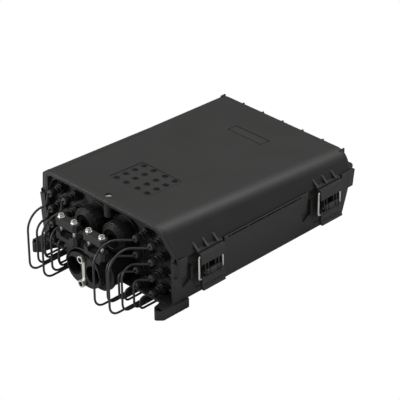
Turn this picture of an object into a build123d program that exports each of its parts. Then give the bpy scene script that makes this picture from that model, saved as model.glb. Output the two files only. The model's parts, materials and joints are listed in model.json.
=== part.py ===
from build123d import *
import os
from math import cos, pi, radians, sin, tan

# Outdoor fibre distribution box, lying on its back as it hangs on a wall.
# Millimetres. X runs across the box, +Y from the port end to the far end, +Z away from the wall.
# The origin lies on the wall plane, midway between the two front fixing slots.

os.makedirs("parts", exist_ok=True)

# Where the box stands in its own frame
front_y = 12.0              # hood's front top edge, past the line of the front fixings
floor_z = 12.5              # underside of the base above the wall
foot_height = floor_z

# Base tub
wall = 3.0
base_half = 116.0           # half width at the underside
base_height = 62.5
base_draft = 6.75           # degrees, outwards
shroud_y = 6.0              # front edges of the side walls, behind the hood's edge
rim_end_y = 316.0           # far face of the rim band
low_end_y = 303.0           # far face at the underside
end_draft = 10.0            # degrees, far face below the band
band_z = 37.5               # lower edge of the rim band
rim_wall = 2.5
ledge_z = 57.0              # seal ledge
ledge_thick = 4.0
ledge_half = 110.5
corner_r = 9.0
column_r = 8.0              # rounded front corners of the rim band
boss_pitch_x = 170.0        # bosses under the inner plate
boss_pitch_y = 200.0
boss_y = 165.0
boss_h = 6.0

# Cover
lip_half = 120.0
lip_z = 60.0                # lower edge of the cover, inside the rim
shoulder_z = 62.5           # height at which the lip's half width holds
cover_wall = 3.0
side_draft = 27.0           # degrees, inwards
crown_z = 102.45            # height of the hood's front top edge
end_crown_z = 85.5          # height of the far top edge
cover_end_y = 312.8
hood_rake = 14.4            # degrees, hood's front edge leans back downwards
shoulder_r = 20.0           # long top edges
seal_flange_half = 112.5
seal_flange_top = 63.5
seal_front_y = 30.0         # seal flange and gasket start behind the port panel
gasket_half = 116.0
gasket_width = 3.0
gasket_end_y = 311.0
end_rib_pitch = 35.0
end_rib_depth = 4.0
screw_y = 12.5
screw_r = 2.5
screw_head_r = 4.2
screw_boss_r = 6.5
screw_head_z = 96.5
screw_boss_z = 80.0
screw_post = 6.5
screw_head = 3.0
number_panel_w = 71.0
number_panel_l = 57.0
number_panel_y = 74.0
panel_recess = 0.5
dimple_r = 4.4
dimple_depth = 0.5
dimple_side = 18.5          # middle of each block of dimples, from the centre line
dimple_pitch_x = 17.0
dimple_pitch_y = 15.3
end_rib_count = 7
end_chamfer = 3.0
plaque_w = 60.0
plaque_l = 16.0
plaque_y = 253.0

# Port panel
panel_y = 20.0              # front face of the plate
panel_thick = 5.0
panel_top_z = 93.0
panel_corner_r = 22.0
frame_width = 4.5           # raised frame around the panel
frame_y = 10.0              # front face of that frame
panel_gap = 0.3
panel_air = 2.0             # between the arch and the inside of the hood
cheek_half = 113.4          # inside of the straight cheeks at the port end
screw_gap = 0.3

# Ports: eight a side, two columns of four
port_columns = [63.0, 89.0]
port_rows = [8.0, 30.0, 52.0, 74.0]
socket_flange_r = 7.9
socket_r = 7.0
socket_front_y = 14.0
socket_flange = 2.5
socket_bore_r = 4.2
socket_back_y = 34.0
socket_spigot_r = 4.8
spigot_gap = 0.25
cap_flange_r = 7.5
cap_stem_r = 4.8
cap_shank_r = 3.5
cap_end_y = -5.0
cap_gap = 0.3

# Lanyards, one from each cap to the strip under the panel
lanyard_r = 1.2
lanyard_side = {74.0: 17.0, 52.0: 13.0, 30.0: 9.0, 8.0: 3.0}
lanyard_reach = {74.0: -56.0, 52.0: -39.0, 30.0: -24.0, 8.0: -20.0}
lanyard_low_z = -7.5
lanyard_stub = 2.0
lanyard_cut = {74.0: 9.0, 52.0: 7.0, 30.0: 4.0, 8.0: 3.0}
lanyard_foot = 4.5
strip_y = [13.0, 20.0]
strip_x = [42.0, 89.0]
strip_low_z = -10.5

# Glands
gland_x = 24.6
gland_z = 59.0
gland_flange_r = 21.5
gland_spigot_r = 15.0
gland_front_y = -4.0
gland_bore_r = 11.0
gland_flange = 4.0
nut_r = 20.0
nut_step = 1.8              # each front step of the nut is this much smaller
nut_step_l = 2.0
nut_front_y = -8.0
nut_back_y = 9.0
nut_lip_r = 12.3
nut_end_gap = 0.3
thread_gap = 0.08
seal_bore_r = 6.0
seal_back_y = 16.0
seal_front = 3.0            # how far the seal stands out of the gland's body

# Cable clamps in front of the glands
clamp_y = -32.5
clamp_half = 18.5
clamp_depth = 12.0
clamp_upper = [66.0, 75.5]
clamp_lower = [47.0, 57.2]
clamp_screw_x = 11.5
clamp_screw_r = 2.0
clamp_head_r = 3.7
clamp_washer_r = 4.3
clamp_washer = 1.0
clamp_head = 2.8
clamp_channel = [7.0, 9.0]   # half widths of the cable's channel, at its foot and its mouth
clamp_channel_z = 52.5
clamp_arm = 12.0
clamp_arm_drop = 11.0
clamp_round = 3.5
clamp_tooth = 1.3
clamp_tooth_count = 5
clamp_tail = 2.0

# Oval port
oval_z = 15.0
oval_front_y = -32.0
oval_flange_y = -21.0
oval_half = 30.0
oval_height = 42.0
oval_flange_half = 42.0
oval_flange_height = 50.0
oval_hole_x = 16.6
oval_hole_w = 24.0
oval_hole_h = 24.5
oval_seal_depth = 12.0      # from the panel's face to the back of the seal
oval_flange_l = 4.0
oval_cavity_half = 30.5
oval_cavity_height = 42.0
oval_seal_gap = 0.2
oval_bolt_z = [-2.0, 32.0]
oval_bolt_r = 2.0
oval_bolt_head_r = 5.0
oval_bolt_head = 4.0
oval_bolt_socket_r = 2.4
oval_strap_w = 6.0
oval_strap_t = 1.5

# Latches on the +X side
latch_centres = [60.0, 268.0]
pocket_x = 116.4
pocket_outline = [          # lengths from the latch's middle and heights
    (-36.0, 63.5),
    (-36.0, 35.0),
    (-45.0, 35.0),
    (-40.0, 19.0),
    (-28.0, 28.0),
    (-18.0, 9.0),
    (18.0, 9.0),
    (25.5, 20.0),
    (25.5, 63.5),
]
pocket_wall = [-48.0, 30.0] # length of the thicker wall behind it
post_place = -27.5
pivot_x = 127.5
pivot_z = 32.5
pin_r = 1.5
pin_gap = 0.06
lever_half = 18.5
hub_half = 13.0
barrel_r = 3.5
rib_places = [-11.0, -6.0, 6.0, 11.0]
rib_thick = 1.5
rib_gap = 0.35
bail_z = 26.0               # the bail's pivot on the lever
wire_r = 1.25
bail_half = 22.0
bail_cut = 1.4              # its corners
bail_hook = 6.0             # its ends inside the lever
bar_z = 57.0
hook_z = [46.5, 61.0]
hook_half = 20.0
hook_gap = 0.3
keeper_x = 124.6
keeper_z = [60.9, 63.3]
keeper_half = 21.0
keeper_ribs = [-20.0, -4.0, 13.0]
keeper_rib_z = 72.0

# Hinges on the -X side
hinge_x = -127.0
hinge_z = 61.0
hinge_r = 3.4
hinge_half = 20.0
hinge_knuckle = 7.5
hinge_gap = 0.4

# Inside
chassis_thick = 2.0
chassis_w = 200.0
chassis_l = 240.0
tray_w = 180.0
tray_l = 150.0
tray_h = 12.0
tray_y = 185.0
tray_corner = 12.0
tray_floor = 2.0
comb_y = 215.0              # splice holders in the tray
comb_l = 40.0
comb_pitch = 6.0
comb_count = 13
comb_thick = 1.5
reel_y = 160.0              # rings that the fibre is wound on
reel_r = 20.0
splitter_y = 75.0
splitter_w = 90.0
splitter_l = 30.0
splitter_h = 9.0

# Fixings
fixing_x = 110.0
slot_w = 6.5
slot_l = 10.0
lug_outline = [             # half widths and lengths
    (118.0, 30.0),
    (118.0, -12.0),
    (110.0, -20.0),
    (102.0, -12.0),
    (98.5, 4.0),
    (90.0, 18.0),
    (90.0, 30.0),
]
lug_tip_r = 3.5
rear_foot_x = 70.0
rear_foot_y = 285.0
rear_foot_w = 34.0
rear_foot_l = 26.0
keyhole_depth = 9.0
hang_lug_x = 106.0
hang_lug_r = 6.0
hang_lug_z = 55.0
hang_lug_reach = 9.0
hang_lug_thick = 4.0

# Small round pieces have few sides
few_sides = 8
small_sides = 12
oval_sides = 24
round_sides = 36

t_base = tan(radians(base_draft))
t_side = tan(radians(side_draft))
crown_slope = (crown_z - end_crown_z) / cover_end_y
t_rake = tan(radians(hood_rake))
t_end = tan(radians(end_draft))


def y(value):
    """A length behind the hood's front edge, in the part's frame."""
    return front_y + value


def z(value):
    """A height above the base's underside, in the part's frame."""
    return floor_z + value


def across(at_y):
    """The plane that cuts the box across at a length, seen from the port end."""
    return Plane.XZ.offset(-y(at_y))


def base_x(height):
    """Half width of the base's outside at a height."""
    return base_half + height * t_base


def cover_x(height):
    """Half width of the cover's outside at a height, before the shoulders are rounded."""
    return lip_half - (height - shoulder_z) * t_side


def draw_oval(half, height):
    """An oval of a half width and a height, drawn round the oval port's middle."""
    end = half - height / 2
    with Locations((-end, z(oval_z)), (end, z(oval_z))):
        RegularPolygon(height / 2, oval_sides)
    with Locations((0, z(oval_z))):
        Rectangle(2 * end, height)


def save(part, name):
    part.label = name
    export_step(part, f"parts/{name}.step")


# Base tub
with BuildPart() as base:
    with BuildSketch(across(rim_end_y)):
        with BuildLine():
            Polyline(
                (-base_half, z(0)),
                (base_half, z(0)),
                (base_x(base_height), z(base_height)),
                (-base_x(base_height), z(base_height)),
                close=True,
            )
        make_face()
    extrude(amount=rim_end_y - shroud_y)
    far_corners = base.edges().filter_by(lambda e: e.center().Y > y(rim_end_y) - 1)
    fillet(far_corners.filter_by(lambda e: abs(e.center().X) > base_half), corner_r)
    # The rim band's front corners are round, and the wall below them is square
    near_corners = base.edges().filter_by(lambda e: e.center().Y < y(shroud_y) + 1)
    fillet(near_corners.filter_by(lambda e: abs(e.center().X) > base_half), column_r)
    with BuildSketch(across(shroud_y + column_r)):
        for side in (-1, 1):
            with BuildLine():
                Polyline(
                    (side * (base_half - column_r), z(0)),
                    (side * base_half, z(0)),
                    (side * base_x(band_z), z(band_z)),
                    (side * (base_half - column_r), z(band_z)),
                    close=True,
                )
            make_face()
    extrude(amount=column_r)
    # Below the rim band the far wall steps in and leans
    with BuildSketch(Plane.YZ.offset(-base_half * 2)):
        with BuildLine():
            Polyline(
                (y(low_end_y), z(-1)),
                (y(low_end_y + band_z * t_end), z(band_z)),
                (y(rim_end_y + 5), z(band_z)),
                (y(rim_end_y + 5), z(-1)),
                close=True,
            )
        make_face()
    extrude(amount=base_half * 4, mode=Mode.SUBTRACT)
    # Cavity below the seal ledge
    with BuildSketch(across(low_end_y - wall)):
        with BuildLine():
            Polyline(
                (-base_x(wall) + wall, z(wall)),
                (base_x(wall) - wall, z(wall)),
                (base_x(ledge_z - ledge_thick) - wall, z(ledge_z - ledge_thick)),
                (-base_x(ledge_z - ledge_thick) + wall, z(ledge_z - ledge_thick)),
                close=True,
            )
        make_face()
    extrude(amount=low_end_y - wall - panel_y - panel_thick, mode=Mode.SUBTRACT)
    # Opening inside the ledge
    with BuildSketch(across(low_end_y - wall)):
        with Locations((0, z(ledge_z))):
            Rectangle(2 * ledge_half, 2 * ledge_thick + 4)
    extrude(amount=low_end_y - wall - panel_y - panel_thick, mode=Mode.SUBTRACT)
    # Space above the ledge, inside the rim
    rim_inner = base_x(base_height) - rim_wall
    with BuildSketch(Plane.XY.offset(z(ledge_z))):
        with Locations((0, y(rim_end_y - rim_wall))):
            RectangleRounded(2 * rim_inner, rim_end_y + 20, corner_r - rim_wall, align=(Align.CENTER, Align.MAX))
    extrude(amount=base_height, mode=Mode.SUBTRACT)

    # Mouth in front of the port panel, between two straight cheeks
    with BuildSketch(across(panel_y)):
        with Locations((0, z(-1))):
            Rectangle(2 * cheek_half, base_height + 2, align=(Align.CENTER, Align.MIN))
    extrude(amount=panel_y, mode=Mode.SUBTRACT)
    # Seat of the port panel
    with BuildSketch(across(panel_y + panel_thick)):
        with Locations((0, z(wall))):
            Rectangle(2 * cheek_half, base_height, align=(Align.CENTER, Align.MIN))
    extrude(amount=panel_thick, mode=Mode.SUBTRACT)
    # Thicker wall behind each latch, then the pocket itself
    for centre in latch_centres:
        with BuildSketch(across(centre + pocket_wall[1])):
            with BuildLine():
                Polyline(
                    (pocket_x - wall, z(wall)),
                    (base_x(wall) - 1, z(wall)),
                    (base_x(ledge_z) - 1, z(ledge_z)),
                    (pocket_x - wall, z(ledge_z)),
                    close=True,
                )
            make_face()
        extrude(amount=pocket_wall[1] - pocket_wall[0])
    for centre in latch_centres:
        with BuildSketch(Plane.YZ.offset(pocket_x)):
            with BuildLine():
                Polyline([(y(centre + place), z(height)) for place, height in pocket_outline], close=True)
            make_face()
        extrude(amount=base_half, mode=Mode.SUBTRACT)
        # Guard post beside the lever
        with BuildSketch(Plane.YZ.offset(pocket_x)):
            with Locations((y(centre + post_place), z(37))):
                Rectangle(3, 18)
        extrude(amount=5)
        # Pivot ribs that carry the lever's pin
        for place in rib_places:
            with BuildSketch(across(centre + place + rib_thick / 2)):
                with BuildLine():
                    Polyline(
                        (pocket_x - 1, z(pivot_z - 5.5)),
                        (pivot_x, z(pivot_z - 3.2)),
                        (pivot_x + 2.2, z(pivot_z - 2.2)),
                        (pivot_x + 3.2, z(pivot_z)),
                        (pivot_x + 2.2, z(pivot_z + 2.2)),
                        (pivot_x, z(pivot_z + 3.2)),
                        (pivot_x, z(pivot_z + 13)),
                        (pocket_x - 1, z(pivot_z + 13)),
                        close=True,
                    )
                make_face()
                with Locations((pivot_x, z(pivot_z))):
                    RegularPolygon(pin_r + pin_gap, small_sides, major_radius=False, mode=Mode.SUBTRACT)
            extrude(amount=rib_thick)
    # Hinge knuckles on the other side
    for centre in latch_centres:
        for side in (-1, 1):
            middle = centre + side * (hinge_half + hinge_knuckle + hinge_gap) / 2
            length = hinge_half - hinge_knuckle - hinge_gap
            with BuildSketch(across(middle + length / 2)):
                with BuildLine():
                    Polyline(
                        (hinge_x, z(hinge_z - hinge_r)),
                        (-base_x(50) + 1, z(50)),
                        (-base_x(hinge_z) + 1, z(hinge_z)),
                        (hinge_x, z(hinge_z)),
                        close=True,
                    )
                make_face()
                with Locations((hinge_x, z(hinge_z))):
                    RegularPolygon(hinge_r, small_sides)
                    RegularPolygon(pin_r + pin_gap, small_sides, major_radius=False, mode=Mode.SUBTRACT)
            extrude(amount=length)
    # Front mounting lugs with their slots, and inset rear feet
    with BuildSketch(Plane.XY):
        for side in (-1, 1):
            with BuildLine():
                Polyline([(side * place, y(length)) for place, length in lug_outline], close=True)
            make_face()
            with Locations((side * rear_foot_x, y(rear_foot_y))):
                Rectangle(rear_foot_w, rear_foot_l)
    extrude(amount=foot_height)
    uprights = base.edges().filter_by(Axis.Z).filter_by(lambda e: e.center().Z < z(-1))
    fillet(uprights.filter_by(lambda e: e.center().Y < y(-11)), lug_tip_r)
    with BuildSketch(Plane.XY):
        for side in (-1, 1):
            with Locations((side * fixing_x, 0)):
                SlotOverall(slot_l, slot_w)
    extrude(amount=foot_height, mode=Mode.SUBTRACT)
    with BuildSketch(Plane.XY):
        for side in (-1, 1):
            with Locations((side * rear_foot_x, y(rear_foot_y))):
                SlotOverall(14, slot_w, rotation=90)
            with Locations((side * rear_foot_x, y(rear_foot_y) - slot_w)):
                RegularPolygon(slot_w, few_sides)
    extrude(amount=keyhole_depth, mode=Mode.SUBTRACT)
    # Hanging lugs at the far end
    for side in (-1, 1):
        with BuildSketch(Plane.YZ.offset(side * hang_lug_x - hang_lug_thick / 2)):
            with Locations((y(rim_end_y) - 1, z(hang_lug_z))):
                Rectangle(hang_lug_reach + 1, 2 * hang_lug_r, align=(Align.MIN, Align.CENTER))
            with Locations((y(rim_end_y) + hang_lug_reach, z(hang_lug_z))):
                RegularPolygon(hang_lug_r, small_sides, major_radius=False)
        extrude(amount=hang_lug_thick)
    # Bosses for the inner plate
    with BuildSketch(Plane.XY.offset(z(wall))):
        with Locations((0, y(boss_y))):
            with GridLocations(boss_pitch_x, boss_pitch_y, 2, 2):
                RegularPolygon(boss_h, few_sides)
    extrude(amount=boss_h)
save(base.part, "base_tub")


# Cover
def cover_form(inset, front, end):
    """The cover's outer form moved inwards by an inset, from a front to an end length."""
    with BuildPart() as form:
        with BuildSketch(across(end)):
            with BuildLine():
                low = lip_z - 1 if inset else lip_z
                Polyline(
                    (-(lip_half - inset), z(low)),
                    (lip_half - inset, z(low)),
                    (lip_half - inset, z(shoulder_z)),
                    (cover_x(crown_z + 8) - inset, z(crown_z + 8)),
                    (-(cover_x(crown_z + 8) - inset), z(crown_z + 8)),
                    (-(lip_half - inset), z(shoulder_z)),
                    close=True,
                )
            make_face()
        extrude(amount=end - front)
        crown = Plane(
            origin=(0, y(0), z(crown_z - inset)),
            x_dir=(1, 0, 0),
            z_dir=(0, crown_slope, 1),
        )
        split(bisect_by=crown, keep=Keep.BOTTOM)
        tops = form.faces().filter_by(lambda f: abs(f.normal_at().dot(crown.z_dir)) > 0.999)
        long_edges = tops.sort_by(Axis.Z)[-1].edges().filter_by(lambda e: e.length > (end - front) * 0.9)
        fillet(long_edges, shoulder_r - inset)
    return form.part


with BuildPart() as cover:
    add(cover_form(0, -2, cover_end_y))
    rear = cover.faces().sort_by(Axis.Y)[-1].edges()
    chamfer(rear.filter_by(lambda e: e.center().Z > z(lip_z + 1)), end_chamfer)
    # The hood's front edge leans back towards the lip
    rake = Plane(origin=(0, y(0), z(crown_z)), x_dir=(1, 0, 0), z_dir=(0, -1, -t_rake))
    split(bisect_by=rake, keep=Keep.BOTTOM)
    add(cover_form(cover_wall, -10, cover_end_y - cover_wall), mode=Mode.SUBTRACT)
    # Seal flange inside the lip
    with BuildSketch(Plane.XY.offset(z(lip_z))):
        with Locations((0, y(cover_end_y - 1))):
            Rectangle(2 * lip_half - 4, cover_end_y - 1 - seal_front_y, align=(Align.CENTER, Align.MAX))
        with Locations((0, y(cover_end_y - 8))):
            Rectangle(2 * seal_flange_half, cover_end_y, align=(Align.CENTER, Align.MAX), mode=Mode.SUBTRACT)
    extrude(amount=seal_flange_top - lip_z)
    # Keepers with their gussets, one for each latch
    for centre in latch_centres:
        with BuildSketch(Plane.XY.offset(z(keeper_z[0]))):
            with Locations((lip_half - 2, y(centre))):
                Rectangle(keeper_x - lip_half + 2, 2 * keeper_half, align=(Align.MIN, Align.CENTER))
        extrude(amount=keeper_z[1] - keeper_z[0])
        for place in keeper_ribs:
            with BuildSketch(across(centre + place + 1)):
                with BuildLine():
                    Polyline(
                        (cover_x(keeper_rib_z) - 1, z(keeper_z[0])),
                        (cover_x(keeper_rib_z) - 1, z(keeper_rib_z)),
                        (cover_x(keeper_rib_z), z(keeper_rib_z)),
                        (keeper_x, z(keeper_z[1])),
                        (keeper_x, z(keeper_z[0])),
                        close=True,
                    )
                make_face()
            extrude(amount=2)
    # Hinge arms
    for centre in latch_centres:
        with BuildSketch(across(centre + hinge_knuckle)):
            with BuildLine():
                Polyline(
                    (hinge_x, z(hinge_z)),
                    (hinge_x + 2.4, z(base_height + 0.8)),
                    (-lip_half + 1, z(base_height + 0.8)),
                    (-cover_x(70) + 1, z(70)),
                    (-cover_x(70), z(70)),
                    (hinge_x - 0.5, z(hinge_z + hinge_r)),
                    close=True,
                )
            make_face()
            with Locations((hinge_x, z(hinge_z))):
                RegularPolygon(hinge_r, small_sides)
                RegularPolygon(pin_r + pin_gap, small_sides, major_radius=False, mode=Mode.SUBTRACT)
        extrude(amount=2 * hinge_knuckle)
    # Ribs across the far end
    with BuildSketch(Plane.XY.offset(z(shoulder_z + 1))):
        with Locations((0, y(cover_end_y))):
            with GridLocations(end_rib_pitch, 1, end_rib_count, 1):
                Rectangle(2, 2 * end_rib_depth)
    extrude(amount=end_crown_z - shoulder_z - 1.5)
    # Boss and hole of the cover screw
    with BuildSketch(Plane.XY.offset(z(screw_boss_z))):
        with Locations((0, y(screw_y))):
            RegularPolygon(screw_boss_r, small_sides)
    extrude(until=Until.NEXT)
    with BuildSketch(Plane.XY.offset(z(screw_boss_z))):
        with Locations((0, y(screw_y))):
            RegularPolygon(screw_r + screw_gap, small_sides, major_radius=False)
    extrude(amount=crown_z - screw_boss_z, mode=Mode.SUBTRACT)
    with BuildSketch(Plane.XY.offset(z(screw_head_z))):
        with Locations((0, y(screw_y))):
            RegularPolygon(screw_head_r + 0.7, small_sides)
    extrude(amount=crown_z - screw_head_z, mode=Mode.SUBTRACT)
    # Number panel with a dimple for each port, and the bare plaque near the far end
    crown_face = Plane(origin=(0, y(0), z(crown_z)), x_dir=(1, 0, 0), z_dir=(0, crown_slope, 1))
    with BuildSketch(crown_face):
        with Locations((0, number_panel_y)):
            RectangleRounded(number_panel_w, number_panel_l, 5)
    extrude(amount=-panel_recess, mode=Mode.SUBTRACT)
    with BuildSketch(crown_face.offset(-panel_recess)):
        with Locations((-dimple_side, number_panel_y), (dimple_side, number_panel_y)):
            with GridLocations(dimple_pitch_x, dimple_pitch_y, 2, 4):
                RegularPolygon(dimple_r, small_sides)
    extrude(amount=-dimple_depth, mode=Mode.SUBTRACT)
    with BuildSketch(crown_face):
        with Locations((0, plaque_y)):
            Rectangle(plaque_w, plaque_l)
            Rectangle(plaque_w - 3, plaque_l - 3, mode=Mode.SUBTRACT)
    extrude(amount=-panel_recess, mode=Mode.SUBTRACT)
save(cover.part, "cover")

# Gasket on the base's ledge, around the two sides and the far end
with BuildPart() as gasket:
    with BuildSketch(Plane.XY.offset(z(ledge_z))):
        with Locations((0, y(gasket_end_y))):
            Rectangle(2 * gasket_half, gasket_end_y - seal_front_y, align=(Align.CENTER, Align.MAX))
        with Locations((0, y(gasket_end_y - gasket_width))):
            Rectangle(
                2 * (gasket_half - gasket_width),
                gasket_end_y,
                align=(Align.CENTER, Align.MAX),
                mode=Mode.SUBTRACT,
            )
    extrude(amount=lip_z - ledge_z)
save(gasket.part, "cover_gasket")

# Port panel, an arch that stands inside the hood
with BuildPart() as panel:
    plate_half = cheek_half - panel_gap
    arch_foot = lip_half - cover_wall - panel_air
    arch_top = cover_x(panel_top_z) - cover_wall - panel_air
    with BuildSketch(across(panel_y + panel_thick)):
        with BuildLine():
            Polyline(
                (-plate_half, z(wall)),
                (plate_half, z(wall)),
                (plate_half, z(ledge_z + panel_gap)),
                (arch_foot, z(ledge_z + panel_gap)),
                (arch_foot, z(shoulder_z)),
                (arch_top, z(panel_top_z)),
                (-arch_top, z(panel_top_z)),
                (-arch_foot, z(shoulder_z)),
                (-arch_foot, z(ledge_z + panel_gap)),
                (-plate_half, z(ledge_z + panel_gap)),
                close=True,
            )
        make_face()
        top_corners = vertices().filter_by(lambda v: v.Y > z(panel_top_z) - 1)
        fillet(top_corners, panel_corner_r)
    extrude(amount=panel_thick)
    front_face = panel.faces().sort_by(Axis.Y)[0]
    with BuildSketch(across(panel_y)):
        add(front_face)
        offset(amount=-frame_width, mode=Mode.SUBTRACT)
    extrude(amount=panel_y - frame_y)
    # Openings for the ports, the glands and the oval port
    with BuildSketch(across(panel_y + panel_thick)):
        for side in (-1, 1):
            for column in port_columns:
                for row in port_rows:
                    with Locations((side * column, z(row))):
                        RegularPolygon(socket_spigot_r + spigot_gap, 4)
            with Locations((side * gland_x, z(gland_z))):
                RegularPolygon(gland_bore_r, round_sides)
        with Locations((-oval_hole_x, z(oval_z)), (oval_hole_x, z(oval_z))):
            Rectangle(oval_hole_w, oval_hole_h)
    extrude(amount=panel_thick, mode=Mode.SUBTRACT)
    # The frame is open at its foot
    with BuildSketch(across(panel_y)):
        with Locations((0, z(0))):
            Rectangle(2 * (plate_half - frame_width), 30, align=(Align.CENTER, Align.MIN))
    extrude(amount=panel_y, mode=Mode.SUBTRACT)
    # Notch in the frame for the cover's screw boss
    with BuildSketch(across(panel_y)):
        with Locations((0, z(panel_top_z + 1))):
            Rectangle(2 * (screw_boss_r + 6), 2 * frame_width + 2)
    extrude(amount=panel_y, mode=Mode.SUBTRACT)
    # Post that takes the cover screw
    with BuildSketch(Plane.XY.offset(z(screw_boss_z - screw_post))):
        with Locations((0, y(screw_y))):
            RegularPolygon(screw_boss_r, small_sides)
            Rectangle(2 * screw_r, panel_y - screw_y + 1, align=(Align.CENTER, Align.MIN))
            RegularPolygon(screw_r + screw_gap, small_sides, major_radius=False, mode=Mode.SUBTRACT)
    extrude(amount=screw_post - screw_gap)
save(panel.part, "port_panel")


# Port sockets: flange on the panel, sleeve in front, spigot behind
for name, side in (("left", -1), ("right", 1)):
    places = [(side * column, z(row)) for column in port_columns for row in port_rows]
    with BuildPart() as sockets:
        with BuildSketch(across(panel_y)):
            with Locations(places):
                RegularPolygon(socket_flange_r, small_sides)
        extrude(amount=socket_flange)
        with BuildSketch(across(panel_y)):
            with Locations(places):
                RegularPolygon(socket_r, few_sides)
        extrude(amount=panel_y - socket_front_y)
        with BuildSketch(across(socket_back_y)):
            with Locations(places):
                RegularPolygon(socket_spigot_r, 4)
        extrude(amount=socket_back_y - panel_y)
        with BuildSketch(across(panel_y)):
            with Locations(places):
                RegularPolygon(socket_bore_r, few_sides)
        extrude(amount=panel_y - socket_front_y, mode=Mode.SUBTRACT)
    save(sockets.part, f"port_sockets_{name}")

# Caps, one for each port
for name, side in (("left", -1), ("right", 1)):
    places = [(side * column, row) for column in port_columns for row in port_rows]
    for number, (x_at, z_at) in enumerate(places, 1):
        with BuildPart() as cap:
            cap_back = socket_front_y - cap_gap
            with BuildSketch(across(cap_back)):
                with Locations((x_at, z(z_at))):
                    RegularPolygon(cap_flange_r, small_sides)
            extrude(amount=3)
            with BuildSketch(across(cap_back - 3)):
                with Locations((x_at, z(z_at))):
                    RegularPolygon(cap_flange_r - 1.2, small_sides)
            extrude(amount=2.2)
            with BuildSketch(across(cap_back)):
                with Locations((x_at, z(z_at))):
                    RegularPolygon(cap_stem_r, few_sides)
            extrude(amount=cap_back - cap_end_y)
            with BuildSketch(across(panel_y - cap_gap)):
                with Locations((x_at, z(z_at))):
                    RegularPolygon(cap_shank_r, 6)
            extrude(amount=panel_y - socket_front_y + 1)
        save(cap.part, f"cap_{name}_{number}")

# Lanyards
for name, side in (("left", -1), ("right", 1)):
    with BuildPart() as lanyards:
        for column in port_columns:
            for row in port_rows:
                shift = lanyard_side[row]
                reach = lanyard_reach[row]
                cut = lanyard_cut[row]
                x_run = side * (column - shift)
                low = z(lanyard_low_z)
                with BuildLine() as path:
                    Polyline(
                        (side * column, y(cap_end_y), z(row)),
                        (side * column, y(cap_end_y - lanyard_stub), z(row)),
                        (x_run, y(cap_end_y - lanyard_stub - shift), z(row)),
                        (x_run, y(reach + cut), z(row)),
                        (x_run, y(reach), z(row - cut)),
                        (x_run, y(reach), low + lanyard_foot),
                        (x_run, y(reach + lanyard_foot), low),
                        (x_run, y(strip_y[0]), low),
                    )
                with BuildSketch(Plane(origin=path.line @ 0, z_dir=path.line % 0)):
                    RegularPolygon(lanyard_r, 6)
                sweep(path=path.line, transition=Transition.RIGHT)
    save(lanyards.part, f"lanyards_{name}")

# Strip under the panel that the lanyards end in
for name, side in (("left", -1), ("right", 1)):
    with BuildPart() as strip:
        with BuildSketch(Plane.XY):
            with Locations((side * (strip_x[0] + strip_x[1]) / 2, y((strip_y[0] + strip_y[1]) / 2))):
                Rectangle(strip_x[1] - strip_x[0], strip_y[1] - strip_y[0])
        extrude(amount=foot_height)
        split(bisect_by=Plane.XY.offset(z(strip_low_z)), keep=Keep.TOP)
    save(strip.part, f"lanyard_strip_{name}")

# Glands: body on the panel, turning nut with stepped rings, rubber seal inside
for name, side in (("left", -1), ("right", 1)):
    centre = (side * gland_x, z(gland_z))
    with BuildPart() as gland:
        with BuildSketch(across(panel_y)):
            with Locations(centre):
                RegularPolygon(gland_flange_r, round_sides)
        extrude(amount=gland_flange)
        with BuildSketch(across(panel_y)):
            with Locations(centre):
                RegularPolygon(gland_spigot_r, round_sides)
        extrude(amount=panel_y - gland_front_y)
        with BuildSketch(across(panel_y)):
            with Locations(centre):
                RegularPolygon(gland_bore_r, round_sides)
        extrude(amount=panel_y - gland_front_y, mode=Mode.SUBTRACT)
    save(gland.part, f"gland_body_{name}")
    with BuildPart() as nut:
        with BuildSketch(across(nut_back_y)):
            with Locations(centre):
                RegularPolygon(nut_r, round_sides)
        extrude(amount=nut_back_y - nut_front_y - 2 * nut_step_l)
        with BuildSketch(across(nut_front_y + 2 * nut_step_l)):
            with Locations(centre):
                RegularPolygon(nut_r - nut_step, round_sides)
        extrude(amount=nut_step_l)
        with BuildSketch(across(nut_front_y + nut_step_l)):
            with Locations(centre):
                RegularPolygon(nut_r - 2 * nut_step, round_sides)
        extrude(amount=nut_step_l)
        with BuildSketch(across(nut_back_y)):
            with Locations(centre):
                RegularPolygon(gland_spigot_r + thread_gap, round_sides, major_radius=False)
        extrude(amount=nut_back_y - gland_front_y + nut_end_gap, mode=Mode.SUBTRACT)
        with BuildSketch(across(nut_back_y)):
            with Locations(centre):
                RegularPolygon(nut_lip_r, round_sides)
        extrude(amount=nut_back_y - nut_front_y, mode=Mode.SUBTRACT)
    save(nut.part, f"gland_nut_{name}")
    with BuildPart() as seal:
        with BuildSketch(across(seal_back_y)):
            with Locations(centre):
                RegularPolygon(gland_bore_r, round_sides)
                Circle(seal_bore_r, mode=Mode.SUBTRACT)
        extrude(amount=seal_back_y - gland_front_y + seal_front)
    save(seal.part, f"gland_seal_{name}")

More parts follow.
